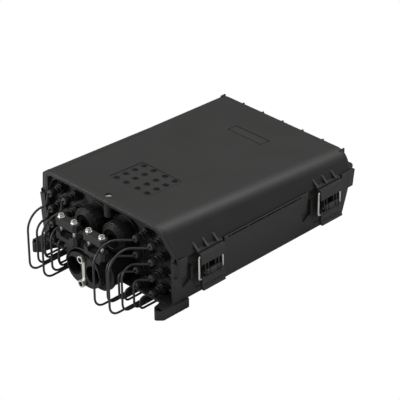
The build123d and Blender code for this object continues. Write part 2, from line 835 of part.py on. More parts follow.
# Cable clamps: lower bar on its arm, upper bar and two screws, with toothed jaws
for name, side in (("left", -1), ("right", 1)):
    middle = side * gland_x
    screw_places = [(middle - clamp_screw_x, y(clamp_y)), (middle + clamp_screw_x, y(clamp_y))]
    with BuildPart() as lower:
        with BuildSketch(Plane.XY.offset(z(clamp_lower[0]))) as bar:
            with Locations((middle, y(clamp_y))):
                Rectangle(2 * clamp_half, clamp_depth)
            chamfer(bar.vertices(), clamp_round)
        extrude(amount=clamp_lower[1] - clamp_lower[0])
        with BuildSketch(Plane.XY.offset(z(clamp_lower[0]))):
            with Locations((middle, y(oval_flange_y))):
                Rectangle(clamp_arm, oval_flange_y - clamp_y, align=(Align.CENTER, Align.MAX))
        extrude(amount=-clamp_arm_drop)
        with BuildSketch(across(clamp_y + clamp_depth)):
            with BuildLine():
                Polyline(
                    (middle - clamp_channel[0], z(clamp_channel_z)),
                    (middle + clamp_channel[0], z(clamp_channel_z)),
                    (middle + clamp_channel[1], z(clamp_lower[1])),
                    (middle - clamp_channel[1], z(clamp_lower[1])),
                    close=True,
                )
            make_face()
        extrude(amount=2 * clamp_depth, mode=Mode.SUBTRACT)
        with BuildSketch(Plane.XY.offset(z(clamp_lower[0]))):
            with Locations(screw_places):
                RegularPolygon(clamp_screw_r, few_sides)
        extrude(amount=clamp_lower[1] - clamp_lower[0], mode=Mode.SUBTRACT)
    save(lower.part, f"clamp_lower_{name}")
    with BuildPart() as upper:
        with BuildSketch(Plane.XY.offset(z(clamp_upper[0]))) as bar:
            with Locations((middle, y(clamp_y))):
                Rectangle(2 * clamp_half, clamp_depth)
            chamfer(bar.vertices(), clamp_round)
            with Locations(screw_places):
                RegularPolygon(clamp_screw_r, few_sides, mode=Mode.SUBTRACT)
        extrude(amount=clamp_upper[1] - clamp_upper[0])
        with BuildSketch(Plane.XY.offset(z(clamp_upper[0]))):
            with Locations((middle, y(clamp_y))):
                with GridLocations(2 * clamp_tooth, 1, clamp_tooth_count, 1):
                    Rectangle(clamp_tooth, clamp_depth)
        extrude(amount=clamp_tooth, mode=Mode.SUBTRACT)
    save(upper.part, f"clamp_upper_{name}")
    with BuildPart() as screws:
        with BuildSketch(Plane.XY.offset(z(clamp_upper[1]))):
            with Locations(screw_places):
                RegularPolygon(clamp_washer_r, small_sides)
        extrude(amount=clamp_washer)
        with BuildSketch(Plane.XY.offset(z(clamp_upper[1] + clamp_washer))):
            with Locations(screw_places):
                RegularPolygon(clamp_head_r, 6)
        extrude(amount=clamp_head)
        with BuildSketch(Plane.XY.offset(z(clamp_lower[0] - clamp_tail))):
            with Locations(screw_places):
                RegularPolygon(clamp_screw_r, few_sides)
        extrude(amount=clamp_upper[1] - clamp_lower[0] + clamp_tail)
    save(screws.part, f"clamp_screws_{name}")

# Oval port: housing on the panel, rubber seal, front plate, strap and two hollow bolts
turns = [2 * pi * step / oval_sides for step in range(oval_sides)]
oval_hole = [(oval_hole_w / 2 * cos(turn), oval_hole_h / 2 * sin(turn)) for turn in turns]
oval_places = [(-oval_hole_x, z(oval_z)), (oval_hole_x, z(oval_z))]
bolt_places = [(0, z(oval_bolt_z[0])), (0, z(oval_bolt_z[1]))]
with BuildPart() as housing:
    with BuildSketch(across(panel_y)):
        draw_oval(oval_flange_half - 2, oval_flange_height - 4)
    extrude(amount=panel_y - oval_flange_y)
    with BuildSketch(across(oval_flange_y + oval_flange_l)):
        draw_oval(oval_flange_half, oval_flange_height)
    extrude(amount=oval_flange_l)
    with BuildSketch(across(panel_y)):
        draw_oval(oval_cavity_half, oval_cavity_height)
    extrude(amount=panel_y - oval_flange_y, mode=Mode.SUBTRACT)
save(housing.part, "oval_port_housing")

with BuildPart() as oval_seal:
    with BuildSketch(across(panel_y - oval_seal_depth)):
        draw_oval(oval_cavity_half - oval_seal_gap, oval_cavity_height - 2 * oval_seal_gap)
        with Locations(oval_places):
            Polygon(*oval_hole, mode=Mode.SUBTRACT)
        with Locations(bolt_places):
            RegularPolygon(oval_bolt_r, few_sides, mode=Mode.SUBTRACT)
    extrude(amount=panel_y - oval_seal_depth - oval_flange_y)
save(oval_seal.part, "oval_port_seal")

with BuildPart() as oval_plate:
    with BuildSketch(across(oval_flange_y)):
        draw_oval(oval_half, oval_height)
        with Locations(oval_places):
            Polygon(*oval_hole, mode=Mode.SUBTRACT)
        with Locations(bolt_places):
            RegularPolygon(oval_bolt_r, few_sides, mode=Mode.SUBTRACT)
    extrude(amount=oval_flange_y - oval_front_y)
save(oval_plate.part, "oval_port_plate")

with BuildPart() as strap:
    with BuildSketch(across(oval_front_y)):
        with Locations((0, z(oval_z))):
            Rectangle(oval_strap_w, oval_bolt_z[1] - oval_bolt_z[0] + 2 * oval_bolt_head_r)
        with Locations(bolt_places):
            RegularPolygon(oval_bolt_r, few_sides, mode=Mode.SUBTRACT)
    extrude(amount=oval_strap_t)
save(strap.part, "oval_port_strap")

with BuildPart() as oval_bolts:
    with BuildSketch(across(oval_front_y - oval_strap_t)):
        with Locations(bolt_places):
            RegularPolygon(oval_bolt_head_r, small_sides)
    extrude(amount=oval_bolt_head)
    with BuildSketch(across(oval_front_y - oval_strap_t - 1)):
        with Locations(bolt_places):
            RegularPolygon(oval_bolt_socket_r, 6)
    extrude(amount=oval_bolt_head - 1, mode=Mode.SUBTRACT)
    with BuildSketch(across(panel_y - oval_seal_depth)):
        with Locations(bolt_places):
            RegularPolygon(oval_bolt_r - thread_gap, few_sides)
    extrude(amount=panel_y - oval_seal_depth - oval_front_y + oval_strap_t)
save(oval_bolts.part, "oval_port_bolts")

# Latches: lever on its pin, wire bail on the lever, hook plate on the bail
for name, centre in zip(("front", "rear"), latch_centres):
    with BuildPart() as lever:
        with BuildSketch(across(centre + lever_half)):
            with BuildLine():
                Polyline(
                    (pivot_x - 1.9, z(pivot_z)),
                    (pivot_x - 2.1, z(14)),
                    (pivot_x - 0.5, z(11)),
                    (pivot_x + 4.2, z(11)),
                    (pivot_x + 4.2, z(12.8)),
                    (pivot_x + 2.3, z(15.5)),
                    (pivot_x + 2.3, z(29)),
                    (pivot_x + 3.4, z(30)),
                    (pivot_x + 3.4, z(pivot_z)),
                    close=True,
                )
            make_face()
        extrude(amount=2 * lever_half)
        # The upper corners beside the hub are cut back
        for side in (-1, 1):
            with BuildSketch(Plane.YZ.offset(pocket_x)):
                with Locations((y(centre + side * (hub_half + lever_half) / 2), z(32.5))):
                    Rectangle(lever_half - hub_half, 7)
            extrude(amount=30, mode=Mode.SUBTRACT)
        with BuildSketch(across(centre + hub_half)):
            with Locations((pivot_x, z(pivot_z))):
                RegularPolygon(barrel_r, small_sides)
        extrude(amount=2 * hub_half)
        # Slots that the pivot ribs stand in
        for place in rib_places:
            with BuildSketch(across(centre + place + rib_thick / 2 + rib_gap)):
                with Locations((pivot_x, z(pivot_z))):
                    RegularPolygon(barrel_r + 1.2, small_sides)
            extrude(amount=rib_thick + 2 * rib_gap, mode=Mode.SUBTRACT)
        with BuildSketch(across(centre + hub_half)):
            with Locations((pivot_x, z(pivot_z))):
                RegularPolygon(pin_r + pin_gap, small_sides, major_radius=False)
        extrude(amount=2 * hub_half, mode=Mode.SUBTRACT)
        with BuildSketch(across(centre + lever_half)):
            with Locations((pivot_x, z(bail_z))):
                RegularPolygon(wire_r + pin_gap, small_sides, major_radius=False)
        extrude(amount=2 * lever_half, mode=Mode.SUBTRACT)
    save(lever.part, f"latch_lever_{name}")
    with BuildPart() as bail:
        with BuildLine() as path:
            Polyline(
                (pivot_x, y(centre - bail_half + bail_hook), z(bail_z)),
                (pivot_x, y(centre - bail_half + bail_cut), z(bail_z)),
                (pivot_x, y(centre - bail_half), z(bail_z + bail_cut)),
                (pivot_x, y(centre - bail_half), z(bar_z - bail_cut)),
                (pivot_x, y(centre - bail_half + bail_cut), z(bar_z)),
                (pivot_x, y(centre + bail_half - bail_cut), z(bar_z)),
                (pivot_x, y(centre + bail_half), z(bar_z - bail_cut)),
                (pivot_x, y(centre + bail_half), z(bail_z + bail_cut)),
                (pivot_x, y(centre + bail_half - bail_cut), z(bail_z)),
                (pivot_x, y(centre + bail_half - bail_hook), z(bail_z)),
            )
        with BuildSketch(Plane(origin=path.line @ 0, z_dir=path.line % 0)):
            RegularPolygon(wire_r, few_sides)
        sweep(path=path.line, transition=Transition.RIGHT)
    save(bail.part, f"latch_bail_{name}")
    with BuildPart() as hook:
        with BuildSketch(across(centre + hook_half)):
            with BuildLine():
                Polyline(
                    (keeper_x + hook_gap, z(hook_z[0] + 1)),
                    (keeper_x + hook_gap, z(hook_z[1])),
                    (pivot_x + 1, z(hook_z[1])),
                    (pivot_x + 2.6, z(hook_z[1] - 2)),
                    (pivot_x + 2.6, z(hook_z[0])),
                    (pivot_x, z(hook_z[0])),
                    close=True,
                )
            make_face()
            with Locations((pivot_x, z(bar_z))):
                RegularPolygon(wire_r + 0.03, few_sides, major_radius=False, mode=Mode.SUBTRACT)
        extrude(amount=2 * hook_half)
    save(hook.part, f"latch_hook_{name}")

with BuildPart() as latch_pins:
    for centre in latch_centres:
        with BuildSketch(across(centre + hub_half)):
            with Locations((pivot_x, z(pivot_z))):
                RegularPolygon(pin_r, small_sides)
        extrude(amount=2 * hub_half)
save(latch_pins.part, "latch_pins")

with BuildPart() as hinge_pins:
    for centre in latch_centres:
        with BuildSketch(across(centre + hinge_half)):
            with Locations((hinge_x, z(hinge_z))):
                RegularPolygon(pin_r, small_sides)
        extrude(amount=2 * hinge_half)
save(hinge_pins.part, "hinge_pins")

with BuildPart() as cover_screw:
    with BuildSketch(Plane.XY.offset(z(screw_head_z))):
        with Locations((0, y(screw_y))):
            RegularPolygon(screw_head_r, small_sides)
            RegularPolygon(screw_r, 6, mode=Mode.SUBTRACT)
    extrude(amount=screw_head)
    with BuildSketch(Plane.XY.offset(z(screw_boss_z - screw_post))):
        with Locations((0, y(screw_y))):
            RegularPolygon(screw_r, few_sides)
    extrude(amount=screw_head_z - screw_boss_z + screw_post + 1)
save(cover_screw.part, "cover_screw")

# Inside: plate on four bosses, splice tray with its lid, splitter
with BuildPart() as chassis:
    with BuildSketch(Plane.XY.offset(z(wall + boss_h))):
        with Locations((0, y(boss_y))):
            Rectangle(chassis_w, chassis_l)
            with GridLocations(boss_pitch_x, boss_pitch_y, 2, 2):
                RegularPolygon(boss_h / 3, few_sides, mode=Mode.SUBTRACT)
    extrude(amount=chassis_thick)
save(chassis.part, "inner_plate")

tray_low = wall + boss_h + chassis_thick
with BuildPart() as tray:
    with BuildSketch(Plane.XY.offset(z(tray_low))) as outline:
        with Locations((0, y(tray_y))):
            Rectangle(tray_w, tray_l)
        chamfer(outline.vertices(), tray_corner)
    extrude(amount=tray_h)
    with BuildSketch(Plane.XY.offset(z(tray_low + tray_floor))) as inside:
        with Locations((0, y(tray_y))):
            Rectangle(tray_w - 2 * tray_floor, tray_l - 2 * tray_floor)
        chamfer(inside.vertices(), tray_corner - tray_floor / 2)
    extrude(amount=tray_h, mode=Mode.SUBTRACT)
    with BuildSketch(Plane.XY.offset(z(tray_low + tray_floor))):
        with Locations((0, y(comb_y))):
            with GridLocations(comb_pitch, 1, comb_count, 1):
                Rectangle(comb_thick, comb_l)
        with Locations((-tray_w / 4, y(reel_y)), (tray_w / 4, y(reel_y))):
            RegularPolygon(reel_r, oval_sides)
            RegularPolygon(reel_r - comb_thick, oval_sides, mode=Mode.SUBTRACT)
    extrude(amount=tray_h - 2 * tray_floor)
save(tray.part, "splice_tray")

with BuildPart() as tray_lid:
    with BuildSketch(Plane.XY.offset(z(tray_low + tray_h))) as lid:
        with Locations((0, y(tray_y))):
            Rectangle(tray_w, tray_l)
        chamfer(lid.vertices(), tray_corner)
    extrude(amount=comb_thick)
save(tray_lid.part, "splice_tray_lid")

with BuildPart() as splitter:
    with BuildSketch(Plane.XY.offset(z(tray_low))):
        with Locations((0, y(splitter_y))):
            Rectangle(splitter_w, splitter_l)
    extrude(amount=splitter_h)
save(splitter.part, "splitter_module")
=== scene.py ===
import json
import math

import bmesh
import bpy
from mathutils import Matrix, Vector


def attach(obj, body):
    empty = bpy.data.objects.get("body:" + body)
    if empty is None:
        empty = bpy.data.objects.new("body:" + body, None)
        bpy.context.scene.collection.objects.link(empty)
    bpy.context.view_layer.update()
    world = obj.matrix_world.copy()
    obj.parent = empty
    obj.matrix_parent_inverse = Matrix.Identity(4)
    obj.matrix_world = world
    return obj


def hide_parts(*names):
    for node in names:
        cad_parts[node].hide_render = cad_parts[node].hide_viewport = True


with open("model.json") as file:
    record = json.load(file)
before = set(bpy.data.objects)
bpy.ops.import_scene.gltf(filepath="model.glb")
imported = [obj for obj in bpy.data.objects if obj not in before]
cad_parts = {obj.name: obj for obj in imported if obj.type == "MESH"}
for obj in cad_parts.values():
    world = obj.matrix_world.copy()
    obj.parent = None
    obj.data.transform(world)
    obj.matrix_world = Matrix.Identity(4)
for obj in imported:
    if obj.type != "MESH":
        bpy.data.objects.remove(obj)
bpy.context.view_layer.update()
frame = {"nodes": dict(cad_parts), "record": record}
record = frame["record"]
MM = 0.001

# Where the box stands, as in the part: the hood's front edge and the underside of the base
front_y = 12.0 * MM
floor_z = 12.5 * MM


def point(x, y, z):
    """A place in millimetres, lengths behind the hood's edge and heights above the underside."""
    return Vector((x * MM, front_y + y * MM, floor_z + z * MM))


# Materials

def new_material(name):
    material = bpy.data.materials.new(name)
    material.use_nodes = True
    material.node_tree.nodes.clear()
    return material


def add_node(material, kind, **values):
    node = material.node_tree.nodes.new(kind)
    for key, value in values.items():
        if hasattr(node, key):
            setattr(node, key, value)
        else:
            node.inputs[key].default_value = value
    return node


def link(material, source, output, target, socket):
    material.node_tree.links.new(source.outputs[output], target.inputs[socket])


def moulded(name, tone, roughness=0.5, grain=0.25, edge=0.0006, specular=0.5, edge_highlight_gain=1.25):
    """Moulded plastic or rubber: fine eroded grain, cloudy tone, softened edges, and a painted highlight
    that makes sharp convex edges slightly paler.
    """
    material = new_material(name)
    out = add_node(material, "ShaderNodeOutputMaterial")
    shader = add_node(material, "ShaderNodeBsdfPrincipled")
    shader.inputs["Specular IOR Level"].default_value = specular
    where = add_node(material, "ShaderNodeTexCoord")
    cloud = add_node(material, "ShaderNodeTexNoise")
    cloud.inputs["Scale"].default_value = 22.0
    cloud.inputs["Detail"].default_value = 4.0
    tones = add_node(material, "ShaderNodeValToRGB")
    dark = [channel * 0.9 for channel in tone]
    light = [channel * 1.1 for channel in tone]
    tones.color_ramp.elements[0].position = 0.35
    tones.color_ramp.elements[0].color = (*dark, 1)
    tones.color_ramp.elements[1].position = 0.65
    tones.color_ramp.elements[1].color = (*light, 1)
    fine = add_node(material, "ShaderNodeTexNoise")
    fine.inputs["Scale"].default_value = 1500.0
    fine.inputs["Detail"].default_value = 3.0
    rough = add_node(material, "ShaderNodeMapRange")
    rough.inputs["To Min"].default_value = roughness - 0.04
    rough.inputs["To Max"].default_value = roughness + 0.06
    geometry = add_node(material, "ShaderNodeNewGeometry")
    # Painted highlight: sharp convex edges, found from pointiness, are mixed to a paler tone, as if light
    # caught them.
    edges = add_node(material, "ShaderNodeValToRGB")
    edges.color_ramp.elements[0].position = 0.52
    edges.color_ramp.elements[0].color = (0, 0, 0, 1)
    edges.color_ramp.elements[1].position = 0.62
    edges.color_ramp.elements[1].color = (1, 1, 1, 1)
    edge_highlight_mix = add_node(material, "ShaderNodeMix", data_type="RGBA")
    edge_highlight_share = edge_highlight_mix.inputs[0]
    unhighlighted_tone = edge_highlight_mix.inputs[6]
    edge_highlight_tone = edge_highlight_mix.inputs[7]
    edge_highlight_tone.default_value = (*[channel * edge_highlight_gain for channel in tone], 1)
    bevel = add_node(material, "ShaderNodeBevel", samples=4)
    bevel.inputs["Radius"].default_value = edge
    bump = add_node(material, "ShaderNodeBump")
    bump.inputs["Strength"].default_value = grain
    bump.inputs["Distance"].default_value = 0.00004
    link(material, where, "Object", cloud, "Vector")
    link(material, where, "Object", fine, "Vector")
    link(material, cloud, "Fac", tones, "Fac")
    link(material, cloud, "Fac", rough, "Value")
    link(material, geometry, "Pointiness", edges, "Fac")
    material.node_tree.links.new(edges.outputs["Color"], edge_highlight_share)
    material.node_tree.links.new(tones.outputs["Color"], unhighlighted_tone)
    material.node_tree.links.new(edge_highlight_mix.outputs[2], shader.inputs["Base Color"])
    link(material, rough, "Result", shader, "Roughness")
    link(material, bevel, "Normal", bump, "Normal")
    link(material, fine, "Fac", bump, "Height")
    link(material, bump, "Normal", shader, "Normal")
    link(material, shader, "BSDF", out, "Surface")
    return material


def metal(name, tone, roughness=0.28):
    """Bare stainless steel with faint drawn lines."""
    material = new_material(name)
    out = add_node(material, "ShaderNodeOutputMaterial")
    shader = add_node(material, "ShaderNodeBsdfPrincipled")
    shader.inputs["Metallic"].default_value = 1.0
    where = add_node(material, "ShaderNodeTexCoord")
    spread = add_node(material, "ShaderNodeMapping")
    spread.inputs["Scale"].default_value = (1400, 120, 120)
    lines = add_node(material, "ShaderNodeTexNoise")
    lines.inputs["Scale"].default_value = 1.0
    lines.inputs["Detail"].default_value = 3.0
    tones = add_node(material, "ShaderNodeValToRGB")
    tones.color_ramp.elements[0].color = (*[channel * 0.9 for channel in tone], 1)
    tones.color_ramp.elements[1].color = (*tone, 1)
    rough = add_node(material, "ShaderNodeMapRange")
    rough.inputs["To Min"].default_value = roughness - 0.06
    rough.inputs["To Max"].default_value = roughness + 0.1
    bevel = add_node(material, "ShaderNodeBevel", samples=4)
    bevel.inputs["Radius"].default_value = 0.0003
    bump = add_node(material, "ShaderNodeBump")
    bump.inputs["Strength"].default_value = 0.12
    bump.inputs["Distance"].default_value = 0.00003
    link(material, where, "Object", spread, "Vector")
    link(material, spread, "Vector", lines, "Vector")
    link(material, lines, "Fac", tones, "Fac")
    link(material, tones, "Color", shader, "Base Color")
    link(material, lines, "Fac", rough, "Value")
    link(material, rough, "Result", shader, "Roughness")
    link(material, bevel, "Normal", bump, "Normal")
    link(material, lines, "Fac", bump, "Height")
    link(material, bump, "Normal", shader, "Normal")
    link(material, shader, "BSDF", out, "Surface")
    return material


shell_black = moulded("shell_black", (0.019, 0.019, 0.019), roughness=0.5, edge=0.0008)
port_black = moulded("port_black", (0.008, 0.008, 0.008), roughness=0.5, edge=0.0004)
fitting_black = moulded("fitting_black", (0.010, 0.010, 0.010), roughness=0.42, edge=0.0005)
latch_black = moulded("latch_black", (0.021, 0.021, 0.022), roughness=0.45, edge=0.0004)
lanyard_black = moulded("lanyard_black", (0.024, 0.024, 0.024), roughness=0.4, edge=0.0002)
# The rubber parts' own black, also used as painted shade in the bolts' bores and the gap under the lip.
rubber_and_shade_black = moulded("rubber_and_shade_black", (0.003, 0.003, 0.003), roughness=0.85, edge=0.0005, specular=0.1)
tray_grey = moulded("tray_grey", (0.52, 0.52, 0.50), roughness=0.4, grain=0.1, edge=0.0004, edge_highlight_gain=1.0)
lid_frost = moulded("lid_frost", (0.60, 0.63, 0.66), roughness=0.3, grain=0.1, edge=0.0004, edge_highlight_gain=1.0)
steel = metal("steel", (0.95, 0.94, 0.90), roughness=0.42)
# Painted light: a paler grey for the caps' end discs, standing in for the front lamp's light on them.
painted_light_grey = moulded("painted_light_grey", (0.046, 0.046, 0.046), roughness=0.5, edge=0.0001)
finish_of = {
    "shell": shell_black,
    "port": port_black,
    "fitting": fitting_black,
    "latch": latch_black,
    "lanyard": lanyard_black,
    "rubber": rubber_and_shade_black,
    "tray": tray_grey,
    "lid": lid_frost,
    "steel": steel,
}


def dress(obj, material):
    if not obj.material_slots:
        obj.data.materials.append(material)
    for place in obj.material_slots:
        place.material = material


slot_of = {entry["node"]: entry["material_slot"] for entry in record["subparts"]}
for node, obj in frame["nodes"].items():
    dress(obj, finish_of[slot_of[node]])


# Pieces that give the part its look. Each rides on the body of the CAD node that it follows.

def add_piece(name, mesh, body, place_slot, smooth_angle=35.0):
    obj = bpy.data.objects.new(name, mesh)
    bpy.context.collection.objects.link(obj)
    mesh.shade_smooth()
    mesh.set_sharp_from_angle(angle=math.radians(smooth_angle))
    dress(obj, finish_of[place_slot])
    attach(obj, body)
    return obj


def lathe(outline, centre, steps, notches=(), notch_radius=0.0):
    """A mesh turned about a line along Y. The outline runs through (radius, length) points.

    Notches are (first, last) angles in degrees, in which no point lies further out than notch_radius.
    """
    x_centre, z_centre = centre
    mesh = bpy.data.meshes.new("lathe")
    points = []
    for step in range(steps):
        turn = 360.0 * step / steps
        cut = any(first <= turn <= last for first, last in notches)
        for radius, length in outline:
            reach = min(radius, notch_radius) if cut else radius
            across_x = reach * math.cos(math.radians(turn))
            across_z = reach * math.sin(math.radians(turn))
            points.append(point(x_centre + across_x, length, z_centre + across_z))
    count = len(outline)
    faces = []
    for step in range(steps):
        after = (step + 1) % steps
        for place in range(count - 1):
            a = step * count + place
            b = after * count + place
            faces.append((a, b, b + 1, a + 1))
    mesh.from_pydata(points, [], faces)
    tidy = bmesh.new()
    tidy.from_mesh(mesh)
    bmesh.ops.remove_doubles(tidy, verts=tidy.verts, dist=0.000001)
    bmesh.ops.recalc_face_normals(tidy, faces=tidy.faces)
    tidy.to_mesh(mesh)
    tidy.free()
    return mesh


def join_meshes(name, meshes):
    """One mesh made of several."""
    whole = bmesh.new()
    for mesh in meshes:
        whole.from_mesh(mesh)
    joined = bpy.data.meshes.new(name)
    whole.to_mesh(joined)
    whole.free()
    return joined


def block(low, high):
    """A mesh of a plain block between two corners in millimetres."""
    corners = [(x, y, z) for x in (low[0], high[0]) for y in (low[1], high[1]) for z in (low[2], high[2])]
    mesh = bpy.data.meshes.new("block")
    faces = [(0, 1, 3, 2), (4, 6, 7, 5), (0, 4, 5, 1), (2, 3, 7, 6), (0, 2, 6, 4), (1, 5, 7, 3)]
    mesh.from_pydata([point(*corner) for corner in corners], [], faces)
    return mesh


def hexahedron(low, high):
    """A mesh between four lower and four upper corners in millimetres."""
    mesh = bpy.data.meshes.new("hexahedron")
    faces = [(3, 2, 1, 0), (4, 5, 6, 7), (0, 1, 5, 4), (1, 2, 6, 5), (2, 3, 7, 6), (3, 0, 4, 7)]
    mesh.from_pydata([point(*corner) for corner in [*low, *high]], [], faces)
    tidy = bmesh.new()
    tidy.from_mesh(mesh)
    bmesh.ops.recalc_face_normals(tidy, faces=tidy.faces)
    tidy.to_mesh(mesh)
    tidy.free()
    return mesh


def rounded_line(corners, radii, steps=8):
    """Points along a line whose inner corners are rounded, in millimetres."""
    line = [Vector(corners[0])]
    for before, corner, after, radius in zip(corners, corners[1:], corners[2:], radii):
        corner = Vector(corner)
        back_way = (Vector(before) - corner).normalized()
        on_way = (Vector(after) - corner).normalized()
        half = back_way.angle(on_way) / 2
        cut = radius / math.tan(half)
        start = corner + back_way * cut
        end = corner + on_way * cut
        middle = corner + (back_way + on_way).normalized() * (radius / math.sin(half))
        first = start - middle
        last = end - middle
        whole = first.angle(last)
        for step in range(steps + 1):
            share = step / steps
            arm = (math.sin((1 - share) * whole) * first + math.sin(share * whole) * last) / math.sin(whole)
            line.append(middle + arm)
    line.append(Vector(corners[-1]))
    return line


def curve_mesh(curve):
    """The mesh of a curve or of words."""
    maker = bpy.data.objects.new("maker", curve)
    bpy.context.collection.objects.link(maker)
    bpy.context.view_layer.update()
    mesh = bpy.data.meshes.new_from_object(maker.evaluated_get(bpy.context.evaluated_depsgraph_get()))
    bpy.data.objects.remove(maker)
    return mesh


def tubes(name, lines, radius, body, place_slot):
    """Round wires or moulded loops along lines of points in millimetres."""
    curve = bpy.data.curves.new(name, "CURVE")
    curve.dimensions = "3D"
    curve.bevel_depth = radius * MM
    curve.bevel_resolution = 3
    curve.use_fill_caps = True
    for line in lines:
        spline = curve.splines.new("POLY")
        spline.points.add(len(line) - 1)
        for place, spot in zip(spline.points, line):
            place.co = (*point(*spot), 1)
        spline.use_smooth = True
    return add_piece(name, curve_mesh(curve), body, place_slot, smooth_angle=60.0)


# Where the ports are: four rows in two columns on each side, caps numbered column by column
sides = {"left": -1, "right": 1}
port_columns = (63.0, 89.0)
port_rows = (8.0, 30.0, 52.0, 74.0)
cap_end_y = -5.0

# Lanyards: from each cap sideways, forwards, down and back to the strip under the panel
lanyard_radius = 1.42
lanyard_stub_y = -7.5
lanyard_low_z = -7.5
lanyard_strip_y = 13.0
lanyard_side = {74.0: 17.0, 52.0: 13.0, 30.0: 9.0, 8.0: 3.0}
lanyard_reach = {74.0: -56.0, 52.0: -39.0, 30.0: -24.0, 8.0: -20.0}
lanyard_start = 1.5
lanyard_turn = {74.0: 14.0, 52.0: 10.0, 30.0: 3.0, 8.0: 6.0}
lanyard_bend = {74.0: 24.0, 52.0: 14.0, 30.0: 6.0, 8.0: 6.0}
lanyard_foot = {74.0: 14.0, 52.0: 11.5, 30.0: 8.5, 8.0: 6.0}
for side_name, side in sides.items():
    lines = []
    for column in port_columns:
        for row in port_rows:
            x_run = side * (column - lanyard_side[row])
            corners = [
                (side * column, cap_end_y, row),
                (side * column, lanyard_stub_y, row),
                (x_run, lanyard_stub_y - lanyard_side[row], row),
                (x_run, lanyard_reach[row], row),
                (x_run, lanyard_reach[row], lanyard_low_z),
                (x_run, lanyard_strip_y, lanyard_low_z),
            ]
            radii = [lanyard_start, lanyard_turn[row], lanyard_bend[row], lanyard_foot[row]]
            lines.append(rounded_line(corners, radii))
    cords = tubes(f"smooth_lanyards_{side_name}", lines, lanyard_radius, "base", "lanyard")
    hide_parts(f"lanyards_{side_name}")

# Caps and sockets, turned smooth, with grip notches in the caps' rings and a paler disc of painted light on
# each end, where the front lamp lights the caps' ends
cap_outline = [
    (0.0, cap_end_y), (3.6, cap_end_y), (4.4, -4.7), (4.8, -3.9), (4.8, 1.6), (4.1, 2.2), (4.1, 4.6),
    (4.8, 5.2), (4.8, 8.5), (6.1, 8.5), (6.4, 8.8), (6.4, 10.6), (7.1, 10.7), (7.5, 11.1), (7.5, 13.3),
    (7.1, 13.7), (3.5, 13.7), (3.5, 19.7), (0.0, 19.7),
]
cap_notches = ((30, 45), (120, 135), (210, 225), (300, 315))
cap_notch_radius = 6.4
cap_face_outline = [(0.0, -5.1), (3.7, -5.1), (3.9, -4.95), (0.0, -4.95)]
socket_outline = [
    (4.2, 20.0), (4.2, 14.0), (5.6, 14.0), (5.8, 14.5), (6.7, 14.5), (7.0, 14.9), (7.0, 17.5), (7.7, 17.5),
    (7.9, 17.8), (7.9, 20.0), (4.7, 20.0), (4.7, 34.0), (0.0, 34.0), (0.0, 20.0), (4.2, 20.0),
]
for side_name, side in sides.items():
    places = [(side * column, row) for column in port_columns for row in port_rows]
    rings = [lathe(socket_outline, place, steps=36) for place in places]
    sockets = add_piece(f"smooth_sockets_{side_name}", join_meshes("sockets", rings), "base", "port")
    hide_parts(f"port_sockets_{side_name}")
    for number, place in enumerate(places, 1):
        turned = lathe(cap_outline, place, steps=48, notches=cap_notches, notch_radius=cap_notch_radius)
        cap = add_piece(f"smooth_cap_{side_name}_{number}", turned, f"cap_{side_name}_{number}", "port")
        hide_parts(f"cap_{side_name}_{number}")
        face = lathe(cap_face_outline, place, steps=24)
        shown = add_piece(f"cap_face_{side_name}_{number}", face, f"cap_{side_name}_{number}", "lanyard")
        dress(shown, painted_light_grey)

# Gland nuts with their stepped rings and the grips round them
gland_x = 24.6
gland_z = 59.0
nut_outline = [
    (12.3, -3.7), (12.3, -7.6), (12.7, -8.0), (14.2, -8.0), (14.5, -7.7), (14.5, -7.0), (16.1, -7.0),
    (16.4, -6.7), (16.4, -5.6), (17.9, -5.6), (18.2, -5.3), (18.2, -4.0), (19.6, -4.0), (20.0, -3.6),
    (20.0, 9.0), (15.1, 9.0), (15.1, -3.7), (12.3, -3.7),
]
grip_pitch = 20
grip_width = 6
grip_radius = 19.4
nut_grips = [(turn, turn + grip_width) for turn in range(0, 360, grip_pitch)]
for side_name, side in sides.items():
    place = (side * gland_x, gland_z)
    turned = lathe(nut_outline, place, steps=120, notches=nut_grips, notch_radius=grip_radius)
    nut = add_piece(f"smooth_nut_{side_name}", turned, f"nut_{side_name}", "fitting")
    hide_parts(f"gland_nut_{side_name}")

# Wire bails of the latches. The far leg stands a little further in than the near one.
latch_centres = {"front": 60.0, "rear": 268.0}
wire_radius = 1.25
bail_corner = 2.2
bail_low_z = 26.0
bail_top_z = 57.0
bail_near_x = 127.5
bail_far_x = 125.0
bail_hook = 16.0
bail_near = 22.0
bail_far = 20.0
for name, centre in latch_centres.items():
    wire = rounded_line(
        [
            (bail_near_x, centre - bail_hook, bail_low_z),
            (bail_near_x, centre - bail_near, bail_low_z),
            (bail_near_x, centre - bail_near, bail_top_z),
            (bail_far_x, centre + bail_far, bail_top_z),
            (bail_far_x, centre + bail_far, bail_low_z),
            (bail_far_x, centre + bail_hook, bail_low_z),
        ],
        [bail_corner] * 4,
    )
    bail = tubes(f"smooth_bail_{name}", [wire], wire_radius, f"bail_{name}", "steel")
    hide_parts(f"latch_bail_{name}")

# Steel strap of the oval port, which ends under the heads of the two hollow bolts
strap_low = (-1.2, -33.4, -3.0)
strap_high = (3.4, -32.0, 33.0)
strap = add_piece("narrow_strap", block(strap_low, strap_high), "base", "steel")
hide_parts("oval_port_strap")

# Painted shade in the bores of the two hollow bolts: a thin dark disc on each bolt's front
bolt_heights = (-2.0, 32.0)
bore_radius = 3.1
bore_front_y = -37.56
bore_back_y = -37.45
bore_outline = [
    (0.0, bore_front_y), (bore_radius, bore_front_y), (bore_radius, bore_back_y), (0.0, bore_back_y),
]
bores = [lathe(bore_outline, (0.0, height), steps=24) for height in bolt_heights]
dress(add_piece("bolt_bore_shade", join_meshes("bolt_bore_shade", bores), "base", "port"), rubber_and_shade_black)

